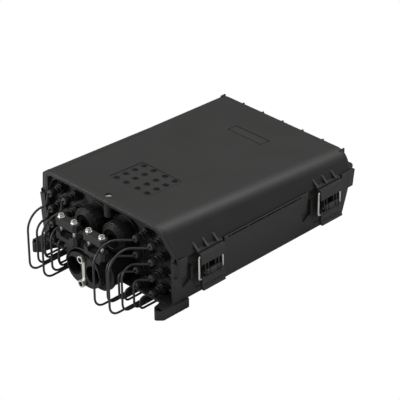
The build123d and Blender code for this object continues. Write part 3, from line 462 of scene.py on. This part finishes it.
# Cross recesses in the clamps' screw heads, a flat spot of shadow on each
clamp_y = -32.5
screw_places = (-35.6, -12.5, 13.4, 36.6)
cross_low_z = 79.2
cross_high_z = 79.42
cross_long = 2.4
cross_short = 0.6
crosses = []
for x_at in screw_places:
    for reach_x, reach_y in ((cross_long, cross_short), (cross_short, cross_long)):
        low = (x_at - reach_x, clamp_y - reach_y, cross_low_z)
        high = (x_at + reach_x, clamp_y + reach_y, cross_high_z)
        crosses.append(block(low, high))
add_piece("clamp_crosses", join_meshes("clamp_crosses", crosses), "base", "port")

# Painted highlight: pale strips on the upper edges of the keepers' gussets, where light catches them
gusset_places = (-20.0, -4.0, 13.0)
gusset_inner_x = 114.2
gusset_inner_z = 71.9
gusset_outer_x = 124.6
gusset_outer_z = 63.2
gusset_front = -0.2
gusset_back = 1.9
gusset_edge = 0.3
gusset_highlights = []
for centre in latch_centres.values():
    for place in gusset_places:
        near_y = centre + place + gusset_front
        far_y = centre + place + gusset_back
        low = [
            (gusset_inner_x, near_y, gusset_inner_z), (gusset_outer_x, near_y, gusset_outer_z),
            (gusset_outer_x, far_y, gusset_outer_z), (gusset_inner_x, far_y, gusset_inner_z),
        ]
        high = [(x_at + gusset_edge, y_at, z_at + gusset_edge) for x_at, y_at, z_at in low]
        gusset_highlights.append(hexahedron(low, high))
add_piece("gusset_highlights", join_meshes("gusset_highlights", gusset_highlights), "cover", "latch")

# Hood over the oval port, under the clamps
arch_middle_z = 15.0
arch_half_x = 30.5
arch_half_z = 31.0
arch_wall = 1.8
arch_ends = (-33.5, -20.0)
arch_start = 4.0
arch_sweep = 172.0
arch_steps = 24


def arch_mesh():
    """A thin arch, with four points at each step: outer and inner in front, outer and inner behind."""
    points = []
    for step in range(arch_steps + 1):
        turn = math.radians(arch_start + arch_sweep * step / arch_steps)
        across = arch_half_x * math.cos(turn)
        rise = arch_half_z * math.sin(turn)
        shrink = 1 - arch_wall / math.hypot(across, rise)
        for length in arch_ends:
            points.append(point(across, length, arch_middle_z + rise))
            points.append(point(across * shrink, length, arch_middle_z + rise * shrink))
    faces = []
    for step in range(arch_steps):
        a = 4 * step
        b = a + 4
        faces += [(a, b, b + 2, a + 2), (a + 1, a + 3, b + 3, b + 1)]
        faces += [(a, a + 1, b + 1, b), (a + 2, b + 2, b + 3, a + 3)]
    last = 4 * arch_steps
    faces += [(0, 2, 3, 1), (last, last + 1, last + 3, last + 2)]
    mesh = bpy.data.meshes.new("port_hood")
    mesh.from_pydata(points, [], faces)
    return mesh


add_piece("oval_port_hood", arch_mesh(), "base", "fitting")

# Square far corners of the rim band, outside the rounded ones
base_half = 116.0
base_lean = 6.75
base_skin = 0.1
corner_start_y = 307.0
corner_end_y = 317.4
corner_inner_x = 110.0
corner_low_z = 37.0
corner_ledge_z = 57.0
corner_top_z = 62.0
corner_wall = 2.2


def side_x(height):
    """Half width of the base at a height."""
    return base_half + height * math.tan(math.radians(base_lean)) + base_skin


def corner_block(side, start_y, low_z, high_z, inner_x=None):
    """A block out to the base's side, from a fixed inner x or else as thick as the corner's wall."""
    levels = []
    for height in (low_z, high_z):
        outer = side_x(height)
        inner = inner_x if inner_x else outer - corner_wall
        levels.append([
            (side * inner, start_y, height), (side * outer, start_y, height),
            (side * outer, corner_end_y, height), (side * inner, corner_end_y, height),
        ])
    return hexahedron(*levels)


for side_name, side in sides.items():
    corner_blocks = [
        corner_block(side, corner_start_y, corner_low_z, corner_ledge_z, corner_inner_x),
        corner_block(side, corner_start_y, corner_ledge_z, corner_top_z),
        corner_block(side, corner_end_y - corner_wall, corner_ledge_z, corner_top_z, corner_inner_x),
    ]
    add_piece(f"rim_corner_{side_name}", join_meshes("rim_corner", corner_blocks), "base", "shell")

# Broad front edge of the left side wall
cheek_front_y = 5.6
cheek_back_y = 10.0
cheek_inset = 3.5
cheek_foot = {"side_z": 0.0, "z": 1.0, "reach": 10.0}
cheek_head = {"side_z": 60.0, "z": 60.0, "reach": 12.0}
cheek_levels = []
for level in (cheek_foot, cheek_head):
    outer = cheek_inset - side_x(level["side_z"])
    inner = level["reach"] - side_x(level["side_z"])
    cheek_levels.append([
        (outer, cheek_front_y, level["z"]), (inner, cheek_front_y, level["z"]),
        (inner, cheek_back_y, level["z"]), (outer, cheek_back_y, level["z"]),
    ])
add_piece("shroud_cheek", hexahedron(*cheek_levels), "base", "shell")

# Floor in front of the panel, under the ports
plate_inner_x = 31.0
plate_outer_x = 107.0
plate_y = (0.5, 21.0)
plate_z = (-2.5, 0.5)
plates = [
    block((low_x, plate_y[0], plate_z[0]), (high_x, plate_y[1], plate_z[1]))
    for low_x, high_x in ((plate_inner_x, plate_outer_x), (-plate_outer_x, -plate_inner_x))
]
add_piece("port_floor", join_meshes("port_floor", plates), "base", "shell")

# The cover's own form, which its front rim, left flank and far edge follow
lip_half = 120.0
lip_inset = 0.3
lip_rise = 0.6
shoulder_z = 62.5
shoulder_radius = 20.0
smallest_radius = 2.0
cover_lean = 27.0
crown_z = 102.45
end_crown_z = 85.5
cover_length = 312.8
crown_drop = (crown_z - end_crown_z) / cover_length
hood_rake = math.tan(math.radians(14.4))
swell_start_z = 66.0
swell_power = 0.8
swell_lift = 0.45


def cover_outline(crown, inset, steps=10):
    """Points (x, z) of the cover's section from the left lip over the crown to the right lip."""
    top = crown - inset
    radius = max(shoulder_radius - inset, smallest_radius)
    sideways = inset / math.cos(math.radians(cover_lean))
    corner = lip_half - (top - shoulder_z) * math.tan(math.radians(cover_lean)) - sideways
    turn = math.radians(90.0 - cover_lean)
    cut = radius * math.tan(turn / 2)
    half = []
    for step in range(steps + 1):
        angle = turn * step / steps
        half.append((corner - cut + radius * math.sin(angle), top - radius + radius * math.cos(angle)))
    half.append((lip_half - sideways - lip_inset, shoulder_z + lip_rise))
    return [(-x, z) for x, z in reversed(half)] + half


def ring_mesh(rings, closed_section=True):
    """A mesh through rings of equal count of points in millimetres, joined ring to ring."""
    mesh = bpy.data.meshes.new("ring")
    count = len(rings[0])
    points = [point(*spot) for ring in rings for spot in ring]
    faces = []
    for number in range(len(rings) if closed_section else len(rings) - 1):
        a = number * count
        b = (number + 1) % len(rings) * count
        for place in range(count - 1):
            faces.append((a + place, a + place + 1, b + place + 1, b + place))
    mesh.from_pydata(points, [], faces)
    tidy = bmesh.new()
    tidy.from_mesh(mesh)
    if closed_section:
        bmesh.ops.holes_fill(tidy, edges=tidy.edges)
        bmesh.ops.recalc_face_normals(tidy, faces=tidy.faces)
    tidy.to_mesh(mesh)
    tidy.free()
    return mesh


def raked(outline, shift):
    """Places an outline on the hood's leaning front edge."""
    return [(x, (crown_z - z) * hood_rake + shift, z) for x, z in outline]


def swollen(outline, crown, amount):
    """Pushes the left shoulder of an outline outwards by up to an amount."""
    moved = []
    for x, z in outline:
        share = max(0.0, min(1.0, (z - swell_start_z) / (crown - swell_start_z))) if x < 0 else 0.0
        swell = amount * math.sin(math.pi * share) ** swell_power
        moved.append((x - swell, z + swell_lift * swell))
    return moved


# Broad front rim of the hood: how far each ring lies inside the cover's face and behind its edge
flank_bulge = 4.2
rim_steps = ((-0.15, 7.0), (-0.15, 2.6), (0.5, 0.6), (1.8, -0.4), (8.4, -0.2), (9.2, 0.4), (9.2, 7.0))
rim_rings = []
for inset, shift in rim_steps:
    rim_rings.append(raked(swollen(cover_outline(crown_z, inset), crown_z, flank_bulge), shift))
add_piece("hood_rim", ring_mesh(rim_rings), "cover", "shell", smooth_angle=50.0)

# Left flank's bulge, which fades out behind the hood. Its section ends where the flat top starts.
flank_length = 170.0
flank_stations = 18
flank_points = 12
flank_skin = 0.1
rake_length = 30.0
flank_rings = []
for station in range(flank_stations):
    share = station / (flank_stations - 1)
    length = flank_length * share
    crown = crown_z - length * crown_drop
    section = swollen(cover_outline(crown, -flank_skin), crown, flank_bulge * (1 - share))[:flank_points]
    rake = hood_rake * max(0.0, 1 - length / rake_length)
    flank_rings.append([(x, length + (crown - z) * rake, z) for x, z in section])
add_piece("left_flank", ring_mesh(flank_rings, closed_section=False), "cover", "shell", smooth_angle=60.0)

# Rounded far edge: length of each ring, how far it stands above the far crown and its inset
far_steps = (
    (309.0, 0.3, 0.0), (312.6, 0.1, 0.0), (314.2, 0.0, 0.5),
    (315.0, 0.0, 1.6), (315.0, 0.0, 4.0), (309.0, 0.0, 4.0),
)
far_rings = []
for length, rise, inset in far_steps:
    far_rings.append([(x, length, z) for x, z in cover_outline(end_crown_z + rise, inset)])
add_piece("far_edge", ring_mesh(far_rings), "cover", "shell", smooth_angle=50.0)

# Small ribs inside the right wall of the port end
rib_x = (108.5, 113.5)
rib_y = (6.5, 12.5)
rib_thick = 1.4
shroud_ribs = [
    block((rib_x[0], rib_y[0], height), (rib_x[1], rib_y[1], height + rib_thick)) for height in (38.5, 17.0)
]
add_piece("shroud_ribs", join_meshes("shroud_ribs", shroud_ribs), "base", "shell")

# Painted shade in the gap under the cover's lip: a dark strip where the lip's shade falls, with small marks
# along it
gap_y = (92.0, 219.0)
gap_z = (60.2, 62.4)
gap_inside = 1.0
gap_outside = 0.05
gap_levels = []
for height in gap_z:
    inner = side_x(height) - gap_inside
    outer = side_x(height) + gap_outside
    gap_levels.append([
        (inner, gap_y[0], height), (outer, gap_y[0], height),
        (outer, gap_y[1], height), (inner, gap_y[1], height),
    ])
dress(add_piece("lip_gap_painted_shade", hexahedron(*gap_levels), "base", "port"), rubber_and_shade_black)
mark_places = (96.0, 125.0, 154.0, 183.0, 212.0)
mark_x = (121.0, 123.75)
mark_z = (60.4, 62.55)
mark_width = 1.6
lip_marks = []
for length in mark_places:
    lip_marks.append(block((mark_x[0], length, mark_z[0]), (mark_x[1], length + mark_width, mark_z[1])))
add_piece("lip_marks", join_meshes("lip_marks", lip_marks), "base", "latch")

# Lever faces: two small slots, drawn as thin dark patches of painted shade, and two bars on each
lever_face_x = 129.6
slot_depth = 0.3
slot_places = (-12.0, 12.0)
slot_half = 2.2
slot_z = (24.4, 26.2)
bar_depth = 1.0
bar_half = 15.0
bar_heights = (27.6, 16.2)
bar_thick = 1.0
for name, centre in latch_centres.items():
    slots = []
    for place in slot_places:
        low = (lever_face_x, centre + place - slot_half, slot_z[0])
        high = (lever_face_x + slot_depth, centre + place + slot_half, slot_z[1])
        slots.append(block(low, high))
    add_piece(f"lever_slot_shades_{name}", join_meshes("lever_slot_shades", slots), f"lever_{name}", "port")
    bars = []
    for height in bar_heights:
        low = (lever_face_x, centre - bar_half, height)
        high = (lever_face_x + bar_depth, centre + bar_half, height + bar_thick)
        bars.append(block(low, high))
    add_piece(f"lever_bars_{name}", join_meshes("lever_bars", bars), f"lever_{name}", "latch")

# Number panel: where its dimples are, how deep their floors lie, the ink of its digits, and the dark
# painted shade on its dimples' floors and along its recess edges
panel_y = 74.0
panel_half_x = 18.5
column_pitch = 17.0
row_pitch = 15.3
rows_in_column = 4
number_depth = 1.0
pad_radius = 4.3
pad_lift = 0.06
number_ink = moulded("number_ink", (0.001, 0.001, 0.001), roughness=0.7, edge=0.0001, specular=0.05)
# Painted shade: a darker tone laid in the dimples and along the recess edges, where shade falls.
recess_painted_shade = moulded("recess_painted_shade", (0.006, 0.006, 0.006), roughness=0.6, edge=0.0001, specular=0.25)


def on_crown(x, y, depth):
    """A spot below the cover's sloping top."""
    return (x, y, crown_z - y * crown_drop - depth)


def pad_mesh(x_at, y_at):
    """A dark disc of painted shade on the floor of one dimple."""
    disc = bpy.data.meshes.new("pad")
    rim = []
    for turn in range(0, 360, 15):
        across = pad_radius * math.cos(math.radians(turn))
        along = pad_radius * math.sin(math.radians(turn))
        rim.append(point(*on_crown(x_at + across, y_at + along, number_depth - pad_lift)))
    disc.from_pydata(rim, [], [tuple(range(len(rim)))])
    return disc


pads = []
digits = []
for block_side, first in ((-1, 1), (1, 9)):
    for column in range(2):
        for row in range(rows_in_column):
            x_at = block_side * panel_half_x + (column - 0.5) * column_pitch
            y_at = panel_y + (row - 1.5) * row_pitch
            digits.append((first + column * rows_in_column + row, x_at, y_at))
            pads.append(pad_mesh(x_at, y_at))

# Dark lines of painted shade round the number panel and round the bare plaque, along their recess edges
panel_edge_x = 35.3
panel_near_y = 47.0
panel_far_y = 102.3
panel_corner = 4.8
panel_line = rounded_line(
    [
        (-panel_edge_x, panel_near_y, 0), (-panel_edge_x, panel_far_y, 0),
        (panel_edge_x, panel_far_y, 0), (panel_edge_x, panel_near_y, 0),
    ],
    [panel_corner, panel_corner],
)
panel_line = [on_crown(spot[0], spot[1], 0.15) for spot in panel_line]
dress(tubes("number_panel_shade_line", [panel_line], 0.35, "cover", "port"), recess_painted_shade)
plaque_half = 28.0
plaque_y = (244.5, 260.5)
plaque_line = [
    on_crown(x_at, y_at, 0.1)
    for x_at, y_at in (
        (-plaque_half, plaque_y[0]), (-plaque_half, plaque_y[1]), (plaque_half, plaque_y[1]),
        (plaque_half, plaque_y[0]), (-plaque_half, plaque_y[0]),
    )
]
dress(tubes("plaque_shade_line", [plaque_line], 0.3, "cover", "port"), recess_painted_shade)
dress(add_piece("dimple_shade_pads", join_meshes("dimple_shade_pads", pads), "cover", "port"), recess_painted_shade)

# Port numbers on the discs
digit_height = 6.0
digit_thick = 0.08
digit_lift = 0.12
crown_tilt = math.atan(crown_drop)
number_meshes = []
for number, x_at, y_at in digits:
    text = bpy.data.curves.new(f"digit_{number}", "FONT")
    text.body = str(number)
    text.size = digit_height * MM
    text.extrude = digit_thick * MM
    text.align_x = "CENTER"
    text.align_y = "CENTER"
    word = curve_mesh(text)
    spot = point(*on_crown(x_at, y_at, number_depth - digit_lift))
    word.transform(Matrix.Translation(spot) @ Matrix.Rotation(-crown_tilt, 4, "X"))
    number_meshes.append(word)
numbers = add_piece("port_numbers", join_meshes("port_numbers", number_meshes), "cover", "port")
dress(numbers, number_ink)


# Sky and lamps

def white_world(low, high):
    """Light from the sky that grows with height. The camera itself sees plain white."""
    world = bpy.data.worlds.new("studio")
    bpy.context.scene.world = world
    world.use_nodes = True
    nodes = world.node_tree.nodes
    nodes.clear()
    links = world.node_tree.links
    out = nodes.new("ShaderNodeOutputWorld")
    light = nodes.new("ShaderNodeBackground")
    light.inputs["Color"].default_value = (1.0, 0.99, 0.97, 1)
    where = nodes.new("ShaderNodeTexCoord")
    axes = nodes.new("ShaderNodeSeparateXYZ")
    height = nodes.new("ShaderNodeMapRange")
    height.inputs["From Min"].default_value = 0.05
    height.inputs["From Max"].default_value = 0.95
    height.inputs["To Min"].default_value = low
    height.inputs["To Max"].default_value = high
    links.new(where.outputs["Generated"], axes.inputs[0])
    links.new(axes.outputs["Z"], height.inputs["Value"])
    links.new(height.outputs["Result"], light.inputs["Strength"])
    seen = nodes.new("ShaderNodeBackground")
    seen.inputs["Color"].default_value = (1, 1, 1, 1)
    seen.inputs["Strength"].default_value = 1.0
    rays = nodes.new("ShaderNodeLightPath")
    mix = nodes.new("ShaderNodeMixShader")
    links.new(rays.outputs["Is Camera Ray"], mix.inputs[0])
    links.new(light.outputs[0], mix.inputs[1])
    links.new(seen.outputs[0], mix.inputs[2])
    links.new(mix.outputs[0], out.inputs[0])


def lamp(name, place, target, size, power):
    """A round soft lamp in metres and watts, turned towards a target."""
    data = bpy.data.lights.new(name, "AREA")
    data.shape = "DISK"
    data.size = size
    data.energy = power
    obj = bpy.data.objects.new(name, data)
    bpy.context.collection.objects.link(obj)
    obj.location = place
    obj.rotation_euler = (Vector(target) - Vector(place)).to_track_quat("-Z", "Y").to_euler()


white_world(low=0.02, high=0.8)
box_middle = (0.0, 0.16, 0.06)
lamp("top_lamp", (0.4, 1.0, 1.5), (0.0, 0.3, 0.08), 1.0, 11.0)
lamp("port_lamp", (-1.1, -1.4, 0.6), box_middle, 0.7, 24.0)

# Floor, which the camera sees as plain white and which throws soft light back
half_floor = 3.0
floor_mesh = bpy.data.meshes.new("floor")
floor_corners = [(x * half_floor, y * half_floor, 0) for x, y in ((-1, -1), (1, -1), (1, 1), (-1, 1))]
floor_mesh.from_pydata(floor_corners, [], [(0, 1, 2, 3)])
floor = bpy.data.objects.new("floor", floor_mesh)
bpy.context.collection.objects.link(floor)
floor_material = new_material("floor_white")
floor_out = add_node(floor_material, "ShaderNodeOutputMaterial")
floor_shader = add_node(floor_material, "ShaderNodeBsdfPrincipled")
floor_shader.inputs["Base Color"].default_value = (0.55, 0.55, 0.55, 1)
floor_shader.inputs["Roughness"].default_value = 0.9
floor_glow = add_node(floor_material, "ShaderNodeEmission")
floor_glow.inputs["Color"].default_value = (1, 1, 1, 1)
floor_rays = add_node(floor_material, "ShaderNodeLightPath")
floor_mix = add_node(floor_material, "ShaderNodeMixShader")
link(floor_material, floor_rays, "Is Camera Ray", floor_mix, 0)
floor_material.node_tree.links.new(floor_shader.outputs[0], floor_mix.inputs[1])
floor_material.node_tree.links.new(floor_glow.outputs[0], floor_mix.inputs[2])
floor_material.node_tree.links.new(floor_mix.outputs[0], floor_out.inputs[0])
floor.data.materials.append(floor_material)

# The camera stands where the photograph was taken from
camera_azimuth = math.radians(45.719)
camera_elevation = math.radians(30.464)
camera_roll = math.radians(-0.762)
camera_place = point(1664.65, -1457.98, 1397.71)
camera_lens = 193.23
back = Vector((
    math.sin(camera_azimuth) * math.cos(camera_elevation),
    -math.cos(camera_azimuth) * math.cos(camera_elevation),
    math.sin(camera_elevation),
))
level = Vector((math.cos(camera_azimuth), math.sin(camera_azimuth), 0))
upright = back.cross(level)
right = math.cos(camera_roll) * level + math.sin(camera_roll) * upright
up = -math.sin(camera_roll) * level + math.cos(camera_roll) * upright
camera_data = bpy.data.cameras.new("camera")
camera_data.lens = camera_lens
camera_data.sensor_width = 36.0
camera_data.clip_end = 20.0
camera = bpy.data.objects.new("camera", camera_data)
bpy.context.collection.objects.link(camera)
camera.matrix_world = Matrix((
    (right.x, up.x, back.x, camera_place.x),
    (right.y, up.y, back.y, camera_place.y),
    (right.z, up.z, back.z, camera_place.z),
    (0, 0, 0, 1),
))
bpy.context.scene.camera = camera
bpy.context.scene.view_settings.view_transform = "Standard"
